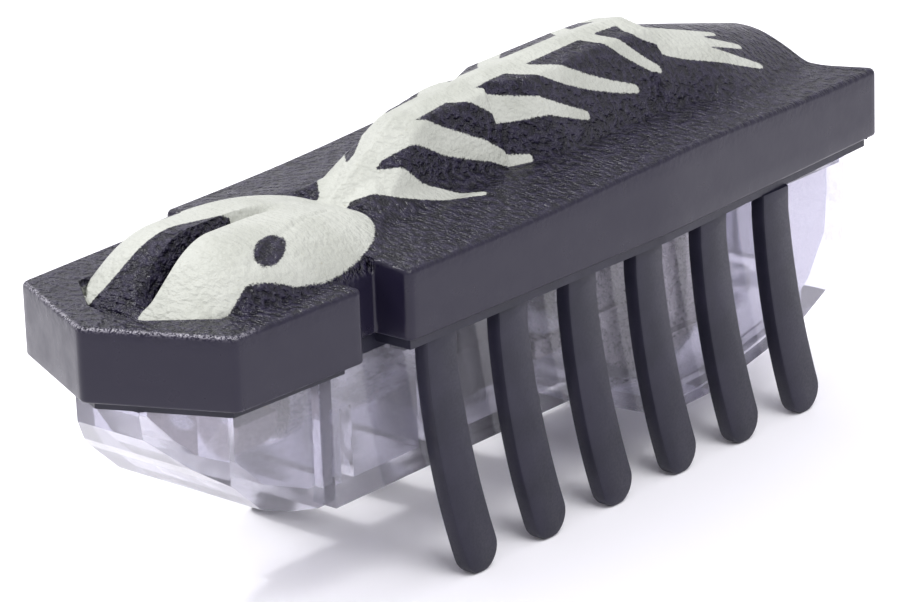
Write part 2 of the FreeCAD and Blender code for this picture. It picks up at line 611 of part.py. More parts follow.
def switch():
    """A slide switch on the belly: housing, contact plate and a slider with its knob outside."""
    floor_z = "belly_z + tub_wall"
    housing = box("switch_block", ("switch_rear_x", "switch_front_x"), ("-(switch_y)", "switch_y"), (floor_z, "switch_top_z"))
    room = box("switch_room", ("switch_rear_x + switch_wall", "switch_front_x - switch_wall"),
               ("switch_wall - switch_y", "switch_y - switch_wall"), ("0", "switch_top_z - switch_wall"))
    node(without("switch_solid", housing, room), "switch_body")
    ceiling = "switch_top_z - switch_wall"
    plate = box("plate_solid", ("switch_rear_x + switch_wall", "switch_front_x - switch_wall"),
                ("-(skate_y)", "skate_y"), (f"{ceiling} - plate_thick", ceiling))
    node(plate, "switch_contact")
    knob = box("knob", ("knob_rear_x", "knob_rear_x + knob_length"), ("-(knob_y)", "knob_y"),
               ("knob_low_z", f"{floor_z} + slide_clear + 0.1"))
    skate = box("skate", ("knob_rear_x - skate_long", "knob_rear_x + knob_length + skate_long"),
                ("-(skate_y)", "skate_y"),
                (f"{floor_z} + slide_clear", f"{floor_z} + slide_clear + skate_thick"))
    grip_count = 3
    grooves = []
    for index in range(grip_count):
        start = f"knob_rear_x + {index} * 0.4 + 0.2"
        grooves.append(box(f"grip_{index}", (start, f"{start} + 0.2"), ("-(knob_y)", "knob_y"), ("0", "knob_low_z + 0.12")))
    node(without("slider_solid", joined("slider_blank", knob, skate), *grooves), "switch_slider")


# ---- leads -----------------------------------------------------------------------------------

def lead(name, plane, lift, corners, turns, start_role, start, start_lift):
    """A round lead swept along straight runs joined by tangent arcs in one plane."""
    body = new_body(name + "_body")
    path = sketch_on(body, name + "_path", plane, lift)
    route(path, corners, turns)
    profile = round_sketch(body, name + "_end", start_role, start[0], start[1], "lead_r", start_lift)
    pipe = body.newObject("PartDesign::AdditivePipe", name + "_pipe")
    pipe.Profile = profile
    pipe.Spine = (path, [f"Edge{index + 1}" for index in range(len(path.Geometry))])
    node(body, name)


def route(sketch, corners, radius):
    """Straight runs through the corners, each bend an arc tangent to its two runs."""
    places = [Vector(value_of(x), value_of(y), 0) for x, y in corners]
    start = places[0]
    for index in range(1, len(places) - 1):
        back = (places[index - 1] - places[index]).normalize()
        ahead = (places[index + 1] - places[index]).normalize()
        half_turn = (math.pi - back.getAngle(ahead)) / 2
        setback = value_of(radius) * math.tan(half_turn)
        first, last = places[index] + back * setback, places[index] + ahead * setback
        inward = (back + ahead).normalize()
        centre = places[index] + inward * (value_of(radius) / math.cos(half_turn))
        middle = centre - inward * value_of(radius)
        sketch.addGeometry(Part.LineSegment(start, first))
        sketch.addGeometry(Part.Arc(first, middle, last))
        print(f"{sketch.Name}: bend radius {value_of(radius):.2f} mm")
        start = last
    sketch.addGeometry(Part.LineSegment(start, places[-1]))


def leads():
    """Red lead from the motor to the cell's can; black lead from the motor to the switch."""
    strip_y = "cell_half + strip_thick / 2"
    lead("motor_lead_red", "XY_Plane", "lead_z",
         [("motor_rear_x", "-(lead_y)"), ("lead_bend_x", "-(lead_y)"),
          ("lead_turn_x", f"-({strip_y})"), ("arm_front_x", f"-({strip_y})")],
         "lead_radius", "YZ_Plane", ("-(lead_y)", "lead_z"), "motor_rear_x")
    lead("motor_lead_black", "XZ_Plane", "-(lead_y)",
         [("motor_rear_x", "black_z"), ("black_bend_x", "black_z"), ("black_end_x", "switch_top_z + lead_r * 0.8")],
         "black_radius", "YZ_Plane", ("lead_y", "black_z"), "motor_rear_x")


def check_document():
    """Stops if any object failed or any sub-part isn't one valid solid or a group of them."""
    doc.recompute()
    for obj in doc.Objects:
        if "Invalid" in obj.State or "Error" in obj.State:
            raise RuntimeError(f"{obj.Name} failed: {obj.State}")
    for part in nodes:
        if part.Shape.isNull() or not part.Shape.isValid() or not part.Shape.Solids:
            raise RuntimeError(f"{part.Label} has no valid solid")
        low, high = part.Shape.BoundBox, part.Shape.Volume
        print(f"{part.Label:20s} solids {len(part.Shape.Solids)} volume {high:8.3f} "
              f"x {low.XMin:7.2f} {low.XMax:7.2f} y {low.YMin:6.2f} {low.YMax:6.2f} "
              f"z {low.ZMin:6.2f} {low.ZMax:6.2f}")


fill_sheet()
top_shell()
leg_frame()
legs()
chassis_and_door()
door_screw()
cell()
contacts()
motor()
switch()
leads()
check_document()
os.makedirs("parts", exist_ok=True)
for part in nodes:
    part.Shape.exportStep(f"parts/{part.Label}.step")
print(f"{len(nodes)} parts written")
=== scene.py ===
"""Vibration bug robot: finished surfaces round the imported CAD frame.

Lengths in this script are millimetres, +X to the nose, +Y to the left, ground at Z = 0, and
become metres only where a mesh or a place is handed to Blender.
"""
import math

import bmesh
import bpy
import numpy as np
from mathutils import Matrix, Vector
from mathutils.geometry import delaunay_2d_cdt


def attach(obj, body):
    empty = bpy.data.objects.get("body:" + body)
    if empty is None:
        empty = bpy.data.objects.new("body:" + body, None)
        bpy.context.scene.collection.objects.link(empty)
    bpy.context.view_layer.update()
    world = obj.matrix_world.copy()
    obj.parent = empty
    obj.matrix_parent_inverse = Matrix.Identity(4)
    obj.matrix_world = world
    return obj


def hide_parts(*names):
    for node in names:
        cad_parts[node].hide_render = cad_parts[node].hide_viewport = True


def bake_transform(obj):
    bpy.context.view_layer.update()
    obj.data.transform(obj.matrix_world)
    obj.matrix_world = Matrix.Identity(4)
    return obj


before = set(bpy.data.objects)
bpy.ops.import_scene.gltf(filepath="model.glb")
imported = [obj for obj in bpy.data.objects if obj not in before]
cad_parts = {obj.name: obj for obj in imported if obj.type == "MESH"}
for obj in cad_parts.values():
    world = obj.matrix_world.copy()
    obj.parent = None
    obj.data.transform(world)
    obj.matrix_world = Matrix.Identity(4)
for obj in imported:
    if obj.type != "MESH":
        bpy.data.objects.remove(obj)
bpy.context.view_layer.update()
scene = bpy.context.scene
MM = 0.001

# ---- driving sizes ---------------------------------------------------------------------------
FLANK_Z = 11.1              # lower edge of the shell's flank above the ground
HEAD_DROP = 0.36            # how far the head's skirt hangs below the flank
HEAD_REAR_X = 11.95
NECK_REAR_X = 10.0
SHELL_WALL = 0.9
SHELL_HOLLOW = 2.0          # height of the shell's ceiling above the flank's lower edge
SHELL_ROUND = 0.22          # radius of the shell's top edge
SHELL_FOOT = 0.14           # radius of the skirt's lower edge
SPINE_FRONT_X = 7.4         # where the printed spine meets the printed face
GRID = 0.11                 # spacing of the shell's mesh
EDGE_HIGHLIGHT = 0.1             # half-width of the painted highlight line along the head's front edges
SADDLE_REAR_X = -11.6       # where the saddle ends in a low step down to the abdomen
LEG_COUNT = 6
LEG_PITCH = 4.37
LEG_FRONT_X = 8.69
LEG_WIDTH = 1.8
LEG_OUTER_Y = 6.2
LEG_THICK = 0.75
LEG_HINGE_Z = 9.63
LEG_TIP_BACK = 2.85
LEG_TIP_R = 0.98
LEG_TIP_Z = 0.948           # height of the tip's centre, so that the sole is cut flat at Z = 0
LEG_TIP_LEAN = -20.0        # degrees that the tip's end turns from level
LEG_FRONT_BEND = -34.0      # radii of the leg's front and rear curves
LEG_REAR_BEND = 39.0
LEG_EDGE = 0.13             # softening of the leg's long edges
LEG_TOP = (0.35, 0.7, 1.05)   # heights above the hinge of the points where a leg enters its frame

# Left half of the shell's plan outline, nose to tail: x, y and corner radius.
OUTLINE = [(21.5, 0.0, 0.5), (18.9, 5.64, 0.4), (11.95, 5.9, 0.3), (11.95, 4.7, 0.15),
           (10.0, 4.7, 0.15), (10.0, 6.5, 0.35), (-6.0, 6.8, 30.0), (-22.0, 5.97, 0.3),
           (-20.15, 3.6, 2.2), (-20.9, 0.0, 9.0)]
# Left half of the edge where the head's rim meets its recess.
RIM = [(19.75, 0.0, 0.4), (19.4, 1.5, 0.3), (17.6, 3.75, 0.25), (15.9, 3.6, 0.4), (14.0, 4.4, 0.6),
       (12.2, 4.6, 0.4), (10.6, 4.5, 0.2)]


# ---- plain geometry --------------------------------------------------------------------------
def soft_min(a, b, blend):
    k = np.clip(0.5 + 0.5 * (b - a) / blend, 0, 1)
    return b + (a - b) * k - blend * k * (1 - k)


def soft_max(a, b, blend):
    return -soft_min(-a, -b, blend)


def ease(low, high, x):
    """0 below low and 1 above high, smoothly; low may be the greater."""
    t = np.clip((x - low) / (high - low), 0, 1)
    return t * t * (3 - 2 * t)


def mirrored(half):
    """A whole outline, anticlockwise, from its left half; rows on the centre line once."""
    right = [(x, -y, r) for x, y, r in half if y]
    return half[:1] + half[1:-1] + half[-1:] + right[::-1] if half[-1][1] else half + right[::-1]


def rounded(corners, step=0.12):
    """Points round a closed polygon whose corners (x, y, radius) are arcs."""
    points = []
    count = len(corners)
    for index, (x, y, radius) in enumerate(corners):
        here = np.array([x, y])
        back = np.array(corners[index - 1][:2]) - here
        ahead = np.array(corners[(index + 1) % count][:2]) - here
        reach = min(np.linalg.norm(back), np.linalg.norm(ahead)) * 0.45
        back = back / np.linalg.norm(back)
        ahead = ahead / np.linalg.norm(ahead)
        half = math.acos(float(np.clip(back @ ahead, -1, 1))) / 2
        tangent = min(radius / math.tan(half), reach)
        radius = tangent * math.tan(half)
        centre = here + (back + ahead) / np.linalg.norm(back + ahead) * radius / math.sin(half)
        start = here + back * tangent - centre
        end = here + ahead * tangent - centre
        turn = math.atan2(start[0] * end[1] - start[1] * end[0], float(start @ end))
        parts = max(2, int(abs(turn) * radius / step) + 1, int(abs(turn) / 0.3) + 1)
        first = math.atan2(start[1], start[0])
        for part in range(parts + 1):
            angle = first + turn * part / parts
            points.append(centre + radius * np.array([math.cos(angle), math.sin(angle)]))
    return np.array(points)


def divided(points, step):
    """The same closed outline with no side longer than step."""
    result = []
    for here, there in zip(points, np.roll(points, -1, axis=0)):
        parts = max(1, int(np.linalg.norm(there - here) / step))
        result += [here + (there - here) * part / parts for part in range(parts)]
    return np.array(result)


def inset(points, depth):
    """A closed outline moved to its inner side; the outline is anticlockwise."""
    before = points - np.roll(points, 1, axis=0)
    after = np.roll(points, -1, axis=0) - points
    normals = [np.stack([-side[:, 1], side[:, 0]], 1) / np.linalg.norm(side, axis=1)[:, None]
               for side in (before, after)]
    middle = normals[0] + normals[1]
    middle /= (middle * normals[0]).sum(1)[:, None]
    return points + middle * depth


def edge_distance(x, y, points):
    """Distance from each place to a closed outline, positive inside it."""
    nearest = np.full(x.shape, 1e9)
    inside = np.zeros(x.shape, bool)
    for (x1, y1), (x2, y2) in zip(points, np.roll(points, -1, axis=0)):
        length = (x2 - x1) ** 2 + (y2 - y1) ** 2
        along = np.clip(((x - x1) * (x2 - x1) + (y - y1) * (y2 - y1)) / length, 0, 1)
        nearest = np.minimum(nearest, np.hypot(x - x1 - along * (x2 - x1), y - y1 - along * (y2 - y1)))
        crosses = (y1 > y) != (y2 > y)
        slope = (x2 - x1) / (y2 - y1) if y1 != y2 else 0.0
        inside ^= crosses & (x < x1 + slope * (y - y1))
    return np.where(inside, nearest, -nearest)


def mesh_object(name, points, faces, smooth_angle=40):
    """A mesh object from millimetre points, shaded smooth below that angle in degrees."""
    mesh = bpy.data.meshes.new(name)
    mesh.from_pydata([tuple(point) for point in np.asarray(points, float) * MM], [],
                     [tuple(int(corner) for corner in face) for face in faces])
    work = bmesh.new()
    work.from_mesh(mesh)
    bmesh.ops.recalc_face_normals(work, faces=work.faces)
    work.to_mesh(mesh)
    work.free()
    mesh.shade_smooth()
    mesh.set_sharp_from_angle(angle=math.radians(smooth_angle))
    made = bpy.data.objects.new(name, mesh)
    scene.collection.objects.link(made)
    return made


# ---- material nodes --------------------------------------------------------------------------
class Nodes:
    """Short names for the shader nodes that the finishes share."""

    def __init__(self, name):
        self.material = bpy.data.materials.new(name)
        self.material.use_nodes = True
        self.tree = self.material.node_tree
        self.shader = self.tree.nodes["Principled BSDF"]
        self.place = self.add("ShaderNodeTexCoord").outputs["Object"]

    def add(self, kind, **settings):
        node = self.tree.nodes.new(kind)
        for key, value in settings.items():
            setattr(node, key, value)
        return node

    def link(self, source, target):
        self.tree.links.new(source, target)

    def fill(self, socket, value):
        if isinstance(value, bpy.types.NodeSocket):
            self.link(value, socket)
        else:
            socket.default_value = value

    def noise(self, scale, detail=3.0, roughness=0.5, stretch=(1, 1, 1), distortion=0.0):
        """Noise with scale features per millimetre."""
        mapping = self.add("ShaderNodeMapping")
        mapping.inputs["Scale"].default_value = stretch
        self.link(self.place, mapping.inputs["Vector"])
        noise = self.add("ShaderNodeTexNoise")
        self.link(mapping.outputs["Vector"], noise.inputs["Vector"])
        noise.inputs["Scale"].default_value = scale / MM
        noise.inputs["Detail"].default_value = detail
        noise.inputs["Roughness"].default_value = roughness
        noise.inputs["Distortion"].default_value = distortion
        return noise.outputs["Fac"]

    def math(self, operation, a, b=0.0, c=0.0):
        node = self.add("ShaderNodeMath", operation=operation)
        for socket, value in zip(node.inputs, (a, b, c)):
            self.fill(socket, value)
        return node.outputs[0]

    def spread(self, value, low, high, to_low=0.0, to_high=1.0):
        """The value brought from one range to another, smoothly, with no overshoot."""
        node = self.add("ShaderNodeMapRange", interpolation_type="SMOOTHSTEP")
        for key, item in zip(("Value", "From Min", "From Max", "To Min", "To Max"),
                             (value, low, high, to_low, to_high)):
            self.fill(node.inputs[key], item)
        return node.outputs["Result"]

    def mix(self, factor, a, b):
        """Colour a where factor is 0 and b where it is 1."""
        node = self.add("ShaderNodeMix", data_type="RGBA")
        self.fill(node.inputs["Factor"], factor)
        self.fill(node.inputs[6], a)
        self.fill(node.inputs[7], b)
        return node.outputs[2]

    def attribute(self, name):
        return self.add("ShaderNodeAttribute", attribute_name=name).outputs["Fac"]

    def bump(self, height, depth, strength=1.0, under=None):
        """Bump whose full height stands depth millimetres proud."""
        node = self.add("ShaderNodeBump")
        node.inputs["Distance"].default_value = depth * MM
        self.fill(node.inputs["Strength"], strength)
        self.link(height, node.inputs["Height"])
        if under is not None:
            self.link(under, node.inputs["Normal"])
        return node.outputs["Normal"]

    def set(self, **values):
        """Sets shader sockets; an underscore stands for a space."""
        for key, value in values.items():
            self.fill(self.shader.inputs[key.replace("_", " ")], value)


def paint(obj, nodes):
    obj.data.materials.clear()
    obj.data.materials.append(nodes.material)


def shell_finish():
    """Black ABS with a leather grain on top, smooth walls, a pale printed pattern, and a painted highlight
    line along the head's front top edges.
    """
    nodes = Nodes("shell")
    top = nodes.attribute("grain")
    grain = nodes.noise(4.0, 2.0, 0.5, (1.0, 0.6, 1.0), 0.15)
    fine = nodes.noise(11.0, 2.0, 0.6)
    relief = nodes.math("MULTIPLY_ADD", fine, 0.12, grain)
    edge = nodes.math("MULTIPLY_ADD", nodes.math("SUBTRACT", fine, 0.5), 0.16, nodes.attribute("print"))
    printed = nodes.spread(edge, 0.03, -0.03)
    tone = nodes.math("SUBTRACT", nodes.spread(grain, 0.35, 0.65), 0.5)
    tone = nodes.math("MULTIPLY_ADD", top, tone, 0.5)
    black = nodes.mix(tone, (0.002, 0.0015, 0.006, 1), (0.017, 0.014, 0.033, 1))
    # painted highlight: the black is lifted to light grey along the head's front top edges, broken up by fine
    # noise
    edge_highlight = nodes.math("MULTIPLY", nodes.attribute("edge"), nodes.spread(fine, 0.44, 0.56))
    black = nodes.mix(edge_highlight, black, (0.22, 0.21, 0.24, 1))
    ink = nodes.mix(nodes.spread(nodes.noise(0.35, 2.0), 0.35, 0.65),
                    (0.36, 0.37, 0.33, 1), (0.41, 0.42, 0.38, 1))
    ink = nodes.mix(nodes.spread(fine, 0.62, 0.80), ink, (0.32, 0.31, 0.24, 1))
    nodes.set(Base_Color=nodes.mix(printed, black, ink),
              Roughness=nodes.math("MULTIPLY_ADD", printed, 0.22,
                                   nodes.spread(nodes.noise(1.1, 3.0), 0.3, 0.7, 0.27, 0.36)),
              Specular_IOR_Level=0.3)
    smooth = nodes.bump(nodes.noise(2.6, 4.0, 0.55), 0.02, 0.25)
    strength = nodes.math("MULTIPLY", top, nodes.math("MULTIPLY_ADD", printed, -0.6, 1.0))
    nodes.set(Normal=nodes.bump(relief, 0.42, strength, smooth))
    return nodes


def rubber_finish():
    """Black thermoplastic elastomer, satin with fine mould wear and dust."""
    nodes = Nodes("rubber")
    cloudy = nodes.noise(0.5, 4.0, 0.6)
    fine = nodes.noise(9.0, 3.0, 0.6)
    nodes.set(Base_Color=nodes.mix(nodes.spread(cloudy, 0.3, 0.7), (0.005, 0.005, 0.014, 1),
                                   (0.012, 0.011, 0.024, 1)),
              Roughness=nodes.spread(fine, 0.3, 0.7, 0.38, 0.50), Specular_IOR_Level=0.34,
              Normal=nodes.bump(nodes.math("MULTIPLY_ADD", fine, 0.4, cloudy), 0.03, 0.3))
    return nodes


def clear_finish():
    """Clear moulded plastic with slight flow waves and a frosting of fine scratches."""
    nodes = Nodes("clear_plastic")
    waves = nodes.noise(0.45, 2.0, 0.5, (0.4, 1.0, 1.0))
    frost = nodes.noise(7.0, 4.0, 0.65)
    nodes.set(Base_Color=nodes.mix(nodes.spread(frost, 0.35, 0.75), (0.66, 0.65, 0.73, 1),
                                   (0.78, 0.77, 0.84, 1)),
              Roughness=nodes.spread(frost, 0.35, 0.75, 0.10, 0.22),
              Transmission_Weight=0.88, IOR=1.22, Coat_Weight=0.6, Coat_Roughness=0.06,
              Normal=nodes.bump(waves, 0.25, 0.3))
    return nodes


def metal_finish(name, dark, light, rough, brushed=(1, 1, 1)):
    """Bare metal with drawn or rolled marks along the short sides of brushed."""
    nodes = Nodes(name)
    marks = nodes.noise(5.0, 4.0, 0.6, brushed)
    nodes.set(Base_Color=nodes.mix(nodes.spread(marks, 0.3, 0.7), (*dark, 1), (*light, 1)),
              Metallic=1.0, Roughness=nodes.spread(marks, 0.3, 0.7, rough * 0.75, rough * 1.25),
              Normal=nodes.bump(marks, 0.012, 0.35))
    return nodes


def plastic_finish(name, dark, light, rough):
    """Opaque moulded plastic or lacquer with faint mottling."""
    nodes = Nodes(name)
    mottle = nodes.noise(1.6, 4.0, 0.6)
    nodes.set(Base_Color=nodes.mix(nodes.spread(mottle, 0.3, 0.7), (*dark, 1), (*light, 1)),
              Roughness=nodes.spread(mottle, 0.3, 0.7, rough * 0.85, rough * 1.15),
              Normal=nodes.bump(nodes.noise(8.0, 3.0), 0.01, 0.3))
    return nodes


# ---- top shell -------------------------------------------------------------------------------
def deck(x, y):
    arch = 0.45 * np.exp(-((x + 7.5) / 8.0) ** 2)
    return 2.92 + arch + 0.3 * np.clip((6.5 - np.abs(y)) / 3.0, 0, 1)


def platform(x, y):
    """The low sloping block at the front of the back, whose front facet catches the light."""
    across = np.abs(y)
    top = soft_min(3.35 + (2.72 - across) * 0.62, 3.95 + (6.6 - x) * 0.45, 0.12)
    front = 3.1 + (7.35 - x) * 1.6
    rear = 3.3 + (x + 0.6) * 3.0
    return soft_min(soft_min(top, front, 0.08), rear, 0.1)


def hood(x, y):
    """The narrow ridge that climbs over the platform to the saddle."""
    across = np.abs(y)
    widening = 0.18 * np.clip(2.0 - x, 0, 2)
    side = 4.04 + (1.85 + widening - across) * 2.6
    front = 4.05 + (6.9 - x) * 0.62 - 0.5 * across
    roof = 6.35 + 0.1 * np.clip(2.5 - x, 0, 3) - 0.22 * across
    rear = 3.3 + (x + 0.8) * 2.6 + (2.75 - across) * 2.5
    return soft_min(soft_min(soft_min(side, roof, 0.2), front, 0.3), rear, 0.1)


def saddle(x, y):
    across = np.abs(y)
    side = 3.35 + (3.62 - across) * 1.55
    fall = np.where(x < -8.5, 0.010 * (x + 8.5) ** 2, 0.035 * (x + 8.5))
    roof = 6.97 - fall - 0.22 * across
    front = 3.3 + (-3.3 - x) * 0.75 + (3.5 - across) * 1.65
    top = soft_min(soft_min(side, roof, 0.2), front, 0.1)
    top = soft_min(top, 6.05 + (2.0 - x) * 2.6, 0.15)
    return np.where(x < SADDLE_REAR_X, 0.0, top)


def abdomen(x, y):
    along = np.clip((-11.0 - x) / 10.6, 0, 1)
    ridge = soft_min(6.45 - 0.235 * (-11.6 - x), 3.0 + (x + 20.9) * 2.5, 1.0)
    settled = ease(SADDLE_REAR_X, -15.0, x)
    half = 3.95 + 0.6 * settled - 1.4 * along ** 2
    bulge = np.clip(1 - (np.abs(y) / half) ** 2, 0, 1) ** (0.85 - 0.13 * settled)
    return np.where(x < -10.5, 2.4 + (ridge - 2.4) * bulge, 0.0)


def cheeks(x, y):
    """Two domes side by side in the head, which run back over the neck to the thorax."""
    across = np.abs(y)
    peak = 4.65 - 0.03 * np.clip(13.0 - x, 0, 9) ** 2
    peak = soft_min(peak, 4.65 - 0.85 * (x - 15.7), 0.9)
    reach = 4.6 * (1 - np.clip((x - 13.0) / 6.2, 0, 1) ** 2.2) ** 0.45
    reach = np.maximum(reach - 0.05 * np.clip(10.5 - x, 0, 9) ** 2, 1.4)
    outward = np.clip((across - 1.3) / (reach - 1.3), 0, 1)
    side = 2.6 + (peak - 2.6) * (1 - outward ** 2.2) ** 0.85
    side -= 1.6 * np.clip((across - reach) / 0.25, 0, 1)
    depth = (peak - 2.4) * ease(9.5, 14.5, x)
    valley = peak - depth * (1 - np.clip(across / 0.45, 0, 1) ** 1.5)
    groove_side = np.abs(across - 1.9 - (x - 10.5) * 0.27)
    groove = 0.07 * (1 - ease(0.05, 0.17, groove_side)) * (x > 8.8) * (x < 15.4)
    return np.where(x > 5.5, np.minimum(side, valley) - groove, 0.0)


SHELL_EDGE = divided(rounded(mirrored(OUTLINE)), 0.25)
RIM_EDGE = divided(rounded(mirrored(RIM)), 0.2)


def shell_height(x, y):
    """Height of the shell's top above the flank's lower edge, before its edge is rounded."""
    body = soft_max(deck(x, y), platform(x, y), 0.1)
    body = soft_max(body, hood(x, y), 0.08)
    body = soft_max(body, saddle(x, y), 0.06)
    body = soft_max(body, abdomen(x, y), 0.02 + 0.9 * ease(-11.7, -13.5, x))
    head = 2.68 - 1.5 * ease(0.0, 0.22, edge_distance(x, y, RIM_EDGE))
    neck = 2.6
    base = np.where(x > HEAD_REAR_X, head, np.where(x > NECK_REAR_X, neck, body))
    return soft_max(base, cheeks(x, y), 0.12)


def stroke(x, y, start, bend, end, wide, narrow):
    """Signed distance to a curved, tapering stroke of those half-widths, negative inside."""
    nearest = np.full(x.shape, 1e9)
    for t in np.linspace(0, 1, 61):
        at = [(1 - t) ** 2 * a + 2 * t * (1 - t) * b + t * t * c for a, b, c in zip(start, bend, end)]
        nearest = np.minimum(nearest, np.hypot(x - at[0], y - at[1]) - (wide + (narrow - wide) * t ** 1.3))
    return nearest


def print_pattern(x, y):
    """Signed distance to the printed backbone, ribs, tail fan and face, negative inside."""
    side = np.abs(y)
    down = side + 0.45 * (shell_height(x, np.zeros(x.shape)) - shell_height(x, y))
    shape = stroke(x, down, (SPINE_FRONT_X, 0), (0, 0), (-12.0, 0), 0.95, 0.6)
    for start, bend, end, wide in RIBS + TAIL_FAN:
        shape = np.minimum(shape, stroke(x, down, start, bend, end, wide, 0.2))
    shape = np.where(x > SPINE_FRONT_X, 1.0, shape)
    face = (np.abs((x - 13.2) / 6.0) ** 2.8 + (side / 4.5) ** 2.8) ** (1 / 2.8) * 4.2 - 4.2
    face = np.maximum(face, np.where(x > 12.0, 0.06 - edge_distance(x, y, RIM_EDGE), -9.0))
    face = np.maximum(face, np.where(x > 12.5, 0.1 + 0.03 * (x - 12.5) - side, -9.0))
    face = np.maximum(face, np.where((y < 0) & (x > 12.5), 0.4 + 0.32 * (x - 12.5) - side, -9.0))
    shape = np.minimum(shape, face)
    eye_x = (x - 13.9) * 0.94 + (side - 2.95) * 0.34
    eye_y = (side - 2.95) * 0.94 - (x - 13.9) * 0.34
    eye = (np.hypot(eye_x / 1.05, eye_y / 0.5) - 1) * 0.5
    return np.maximum(shape, -eye)


# Strokes of the print: start, bend and end, each as x and distance down from the ridge along
# the section, then the half-width at the start.
RIBS = [((6.6, 0.2), (4.9, 2.6), (2.0, 4.9), 0.68), ((4.4, 0.5), (1.6, 2.3), (-1.9, 4.15), 0.56),
        ((0.3, 0.5), (-1.6, 2.2), (-5.5, 3.9), 0.62), ((-3.3, 0.4), (-4.9, 2.4), (-9.0, 3.7), 0.52),
        ((-8.2, 0.3), (-8.9, 1.9), (-10.8, 3.3), 0.44)]
TAIL_FAN = [((-11.2, 1.2), (-13.5, 2.7), (-16.9, 3.8), 0.9), ((-11.2, 0.9), (-13.5, 1.7), (-16.7, 2.5), 0.8),
            ((-11.2, 0.6), (-13.5, 1.2), (-16.1, 1.4), 0.6)]


def shell_grid():
    """Plan points and triangles of the shell's top, finest where the shape turns sharply."""
    rings = [inset(SHELL_EDGE, depth) for depth in (0, 0.02, 0.06, 0.12, SHELL_ROUND)]
    loops = rings + [inset(RIM_EDGE, depth) for depth in (-0.04, 0.06, 0.13, 0.22)]
    steps = [(x, 3.9) for x in (SADDLE_REAR_X, SADDLE_REAR_X - 0.03)]
    steps += [(x, 4.35) for x in (HEAD_REAR_X - 0.02, HEAD_REAR_X, NECK_REAR_X, NECK_REAR_X - 0.02)]
    points, edges = [], []
    for loop in loops:
        first = len(points)
        points += loop.tolist()
        edges += [(first + i, first + (i + 1) % len(loop)) for i in range(len(loop))]
    outer = list(range(len(rings[0])))
    for x, reach in steps:
        first = len(points)
        row = np.arange(-reach, reach + 0.01, 0.15)
        points += [(x, y) for y in row]
        edges += [(first + i, first + i + 1) for i in range(len(row) - 1)]
    across = np.arange(-6.9, 6.9, GRID)
    along = np.arange(-21.5, 21.6, GRID)
    x, y = np.meshgrid(along, across, indexing="ij")
    x = x + (np.arange(len(across)) % 2) * GRID / 2
    x, y = x.ravel(), y.ravel()
    clear = edge_distance(x, y, SHELL_EDGE) > SHELL_ROUND + 0.06
    rim = edge_distance(x, y, RIM_EDGE)
    clear &= (rim < -0.09) | (rim > 0.28) | (x < HEAD_REAR_X)
    for step_x, reach in steps:
        clear &= (np.abs(x - step_x) > 0.06) | (np.abs(y) > reach)
    points += np.stack([x[clear], y[clear]], 1).tolist()
    flat = [Vector(point) for point in points]
    made = delaunay_2d_cdt(flat, edges, [outer], 1, 1e-5)
    return np.array([tuple(point) for point in made[0]]), made[2]


def make_shell():
    plan, triangles = shell_grid()
    x, y = plan[:, 0], plan[:, 1]
    inward = np.clip(edge_distance(x, y, SHELL_EDGE), 0, SHELL_ROUND)
    drop = SHELL_ROUND - np.sqrt(SHELL_ROUND ** 2 - (SHELL_ROUND - inward) ** 2)
    top = np.stack([x, y, FLANK_Z + shell_height(x, y) - drop], 1)
    work = bmesh.new()
    placed = [work.verts.new(point) for point in top]
    for face in triangles:
        work.faces.new([placed[corner] for corner in face])
    border = ordered_border(work)
    skirt_z = [FLANK_Z - HEAD_DROP * float(ease(HEAD_REAR_X - 0.3, HEAD_REAR_X - 0.02, v.co.x))
               for v in border]
    plan_loop = np.array([(v.co.x, v.co.y) for v in border])
    inner = inset(plan_loop, SHELL_WALL)
    rows = []
    for share in (0.25, 0.5, 0.75, 1.0):
        rows.append([(v.co.x, v.co.y, v.co.z + (low + SHELL_FOOT - v.co.z) * share)
                     for v, low in zip(border, skirt_z)])
    for angle in (30, 60, 90):
        bend = math.radians(angle)
        moved = inset(plan_loop, SHELL_FOOT * (1 - math.cos(bend)))
        rows.append([(px, py, low + SHELL_FOOT * (1 - math.sin(bend)))
                     for (px, py), low in zip(moved, skirt_z)])
    rows.append([(px, py, low) for (px, py), low in zip(inner, skirt_z)])
    rows.append([(px, py, FLANK_Z + SHELL_HOLLOW - 0.9 * (px > NECK_REAR_X)) for px, py in inner])
    last = border
    for row in rows:
        made = [work.verts.new(point) for point in row]
        for index, vert in enumerate(made):
            follower = (index + 1) % len(made)
            work.faces.new((last[index], last[follower], made[follower], vert))
        last = made
    work.faces.new(last)
    bmesh.ops.triangulate(work, faces=[face for face in work.faces if len(face.verts) > 4])
    bmesh.ops.recalc_face_normals(work, faces=work.faces)
    points = np.array([v.co for v in work.verts])
    work.verts.index_update()
    faces = [[v.index for v in face.verts] for face in work.faces]
    work.free()
    shell = mesh_object("shell_skin", points, faces, 38)
    depth = edge_distance(points[:, 0], points[:, 1], SHELL_EDGE)
    is_top = np.arange(len(points)) < len(top)
    values = {"print": np.where(is_top, print_pattern(points[:, 0], points[:, 1]), 1.0),
              "grain": np.where(is_top, ease(-0.05, 0.25, depth), 0.0),
              # the edge attribute marks where the painted highlight line runs along the head's front top
              # edges
              "edge": is_top * ease(EDGE_HIGHLIGHT, 0.3 * EDGE_HIGHLIGHT, np.abs(depth - EDGE_HIGHLIGHT))
              * ease(17.0, 19.0, points[:, 0])}
    steep = face_tilt(shell)
    values["print"] = np.maximum(values["print"], (0.22 - steep) * 1.2)
    for name, value in values.items():
        layer = shell.data.attributes.new(name, "FLOAT", "POINT")
        layer.data.foreach_set("value", value.astype(np.float32))
    paint(shell, shell_finish())
    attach(shell, "housing")
    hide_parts("top_shell")
    return shell


def face_tilt(obj):
    """Each vertex normal's share of straight up."""
    normals = np.zeros(len(obj.data.vertices) * 3, np.float32)
    obj.data.vertex_normals.foreach_get("vector", normals)
    return normals.reshape(-1, 3)[:, 2].astype(float)


